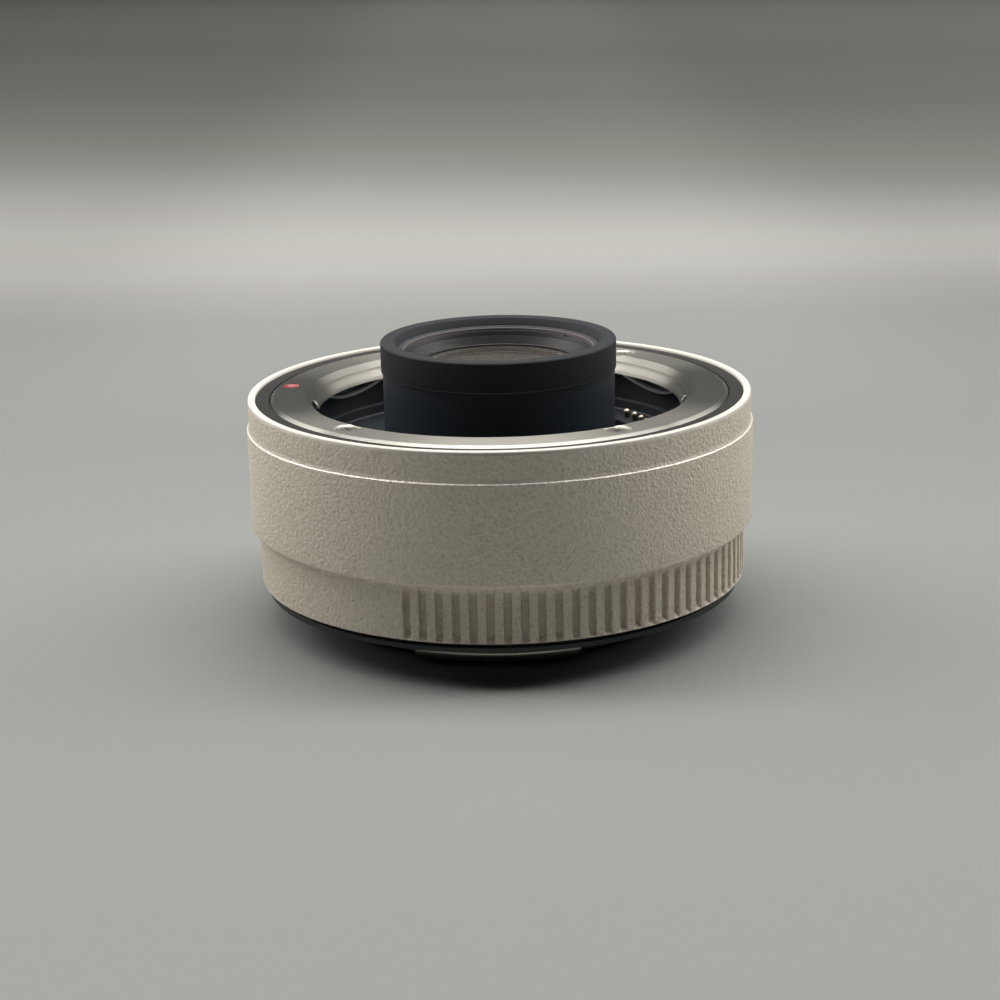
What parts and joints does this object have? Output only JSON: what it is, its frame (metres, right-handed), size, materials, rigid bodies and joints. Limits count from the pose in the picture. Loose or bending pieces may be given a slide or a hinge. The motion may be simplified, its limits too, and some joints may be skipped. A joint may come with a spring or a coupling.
{
  "type": "camera teleconverter",
  "caption": "Short white camera teleconverter with a ribbed grip ring, steel bayonet mounts on both sides and a black lens barrel that stands out of its lens side.",
  "frame": {"origin": "centre of the circle that the rear skirt stands on", "axes": "+Z along the optical axis towards the lens side; the picture looks along +Y; the contact pins are on the +X side"},
  "size_m": [0.0728, 0.0728, 0.0403],
  "materials": {
    "white_paint": "satin",
    "red_enamel": "gloss",
    "black_alloy": "matte",
    "steel": "satin",
    "screw_steel": "satin",
    "lock_steel": "polished",
    "black_spring_steel": "satin",
    "spring_wire": "satin",
    "throat_plastic": "matte",
    "contact_plastic": "matte",
    "slider_plastic": "satin",
    "gold_plate": "polished",
    "board": "satin",
    "chip": "matte",
    "flex": "satin",
    "rubber": "matte",
    "coated_glass": "polished",
    "inner_glass": "polished",
    "shim": "satin"
  },
  "bodies": {
    "root": {"main_barrel": "white_paint", "grip_ring": "white_paint", "rear_index_dot": "red_enamel", "front_index_dot": "red_enamel", "chassis": "black_alloy", "lens_tube": "black_alloy", "front_retainer": "black_alloy", "rear_retainer": "black_alloy", "spacer_ring": "black_alloy", "lens_mount": "steel", "camera_mount": "steel", "lens_mount_screws": "screw_steel", "contact_block_screws": "screw_steel", "board_screws": "screw_steel", "tube_screws": "screw_steel", "camera_mount_screws": "screw_steel", "rear_contact_screws": "screw_steel", "spring_seat": "screw_steel", "mount_springs": "black_spring_steel", "lever_spring": "spring_wire", "contact_spring_1": "spring_wire", "contact_spring_2": "spring_wire", "contact_spring_3": "spring_wire", "contact_spring_4": "spring_wire", "contact_spring_5": "spring_wire", "contact_spring_6": "spring_wire", "contact_spring_7": "spring_wire", "contact_spring_8": "spring_wire", "contact_spring_9": "spring_wire", "contact_spring_10": "spring_wire", "front_baffle": "throat_plastic", "rear_baffle": "throat_plastic", "contact_block": "contact_plastic", "rear_contact_block": "contact_plastic", "rear_contact_pads": "gold_plate", "circuit_board": "board", "board_chips": "chip", "front_flex": "flex", "rear_flex": "flex", "rubber_bumper": "rubber", "mount_gasket": "rubber", "front_element": "coated_glass", "rear_element": "coated_glass", "doublet_front": "inner_glass", "doublet_rear": "inner_glass", "fourth_element": "inner_glass", "mount_shim": "shim"},
    "latch": {"release_lever": "slider_plastic", "lock_pin": "lock_steel"},
    "pin_1": {"contact_pin_1": "gold_plate"},
    "pin_2": {"contact_pin_2": "gold_plate"},
    "pin_3": {"contact_pin_3": "gold_plate"},
    "pin_4": {"contact_pin_4": "gold_plate"},
    "pin_5": {"contact_pin_5": "gold_plate"},
    "pin_6": {"contact_pin_6": "gold_plate"},
    "pin_7": {"contact_pin_7": "gold_plate"},
    "pin_8": {"contact_pin_8": "gold_plate"},
    "pin_9": {"contact_pin_9": "gold_plate"},
    "pin_10": {"contact_pin_10": "gold_plate"}
  },
  "joints": [
    {"name": "release_slide", "type": "slide", "parent": "root", "child": "latch", "axis": [0, 0, -1], "range_m": [0, 0.002], "stiffness_N_per_m": 600, "springref_m": -0.002, "deforming": ["lever_spring"]},
    {"name": "pin_1_press", "type": "slide", "parent": "root", "child": "pin_1", "axis": [0, 0, -1], "range_m": [0, 0.0008], "stiffness_N_per_m": 200, "springref_m": -0.0008, "deforming": ["contact_spring_1"]},
    {"name": "pin_2_press", "type": "slide", "parent": "root", "child": "pin_2", "axis": [0, 0, -1], "range_m": [0, 0.0008], "stiffness_N_per_m": 200, "springref_m": -0.0008, "deforming": ["contact_spring_2"]},
    {"name": "pin_3_press", "type": "slide", "parent": "root", "child": "pin_3", "axis": [0, 0, -1], "range_m": [0, 0.0008], "stiffness_N_per_m": 200, "springref_m": -0.0008, "deforming": ["contact_spring_3"]},
    {"name": "pin_4_press", "type": "slide", "parent": "root", "child": "pin_4", "axis": [0, 0, -1], "range_m": [0, 0.0008], "stiffness_N_per_m": 200, "springref_m": -0.0008, "deforming": ["contact_spring_4"]},
    {"name": "pin_5_press", "type": "slide", "parent": "root", "child": "pin_5", "axis": [0, 0, -1], "range_m": [0, 0.0008], "stiffness_N_per_m": 200, "springref_m": -0.0008, "deforming": ["contact_spring_5"]},
    {"name": "pin_6_press", "type": "slide", "parent": "root", "child": "pin_6", "axis": [0, 0, -1], "range_m": [0, 0.0008], "stiffness_N_per_m": 200, "springref_m": -0.0008, "deforming": ["contact_spring_6"]},
    {"name": "pin_7_press", "type": "slide", "parent": "root", "child": "pin_7", "axis": [0, 0, -1], "range_m": [0, 0.0008], "stiffness_N_per_m": 200, "springref_m": -0.0008, "deforming": ["contact_spring_7"]},
    {"name": "pin_8_press", "type": "slide", "parent": "root", "child": "pin_8", "axis": [0, 0, -1], "range_m": [0, 0.0008], "stiffness_N_per_m": 200, "springref_m": -0.0008, "deforming": ["contact_spring_8"]},
    {"name": "pin_9_press", "type": "slide", "parent": "root", "child": "pin_9", "axis": [0, 0, -1], "range_m": [0, 0.0008], "stiffness_N_per_m": 200, "springref_m": -0.0008, "deforming": ["contact_spring_9"]},
    {"name": "pin_10_press", "type": "slide", "parent": "root", "child": "pin_10", "axis": [0, 0, -1], "range_m": [0, 0.0008], "stiffness_N_per_m": 200, "springref_m": -0.0008, "deforming": ["contact_spring_10"]}
  ]
}
